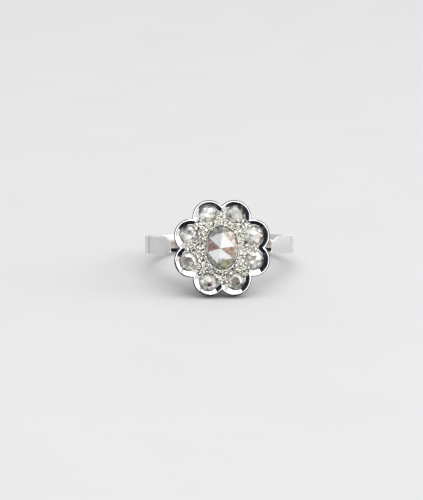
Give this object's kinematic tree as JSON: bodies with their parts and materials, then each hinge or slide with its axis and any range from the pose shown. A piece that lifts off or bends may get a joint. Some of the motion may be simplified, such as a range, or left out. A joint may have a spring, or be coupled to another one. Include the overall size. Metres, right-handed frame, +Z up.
{
  "type": "cluster ring",
  "caption": "White metal finger ring with a scalloped flower head: an oval rose-cut stone ringed by smaller round ones, on a plain flat-shouldered band.",
  "frame": {"origin": "middle of the finger hole, on its axis", "axes": "+X across the finger, the picture's right; -Y out through the head, which leans back a little; +Z up, with the ring lying on its side"},
  "size_m": [0.02, 0.0242, 0.0123],
  "materials": {
    "white_gold": "polished white gold",
    "diamond": "rose cut, faint grey-green tint"
  },
  "bodies": {
    "root": {"ring_setting": "white_gold", "centre_stone": "diamond", "petal_stone_1": "diamond", "petal_stone_2": "diamond", "petal_stone_3": "diamond", "petal_stone_4": "diamond", "petal_stone_5": "diamond", "petal_stone_6": "diamond", "petal_stone_7": "diamond", "petal_stone_8": "diamond"}
  },
  "joints": []
}
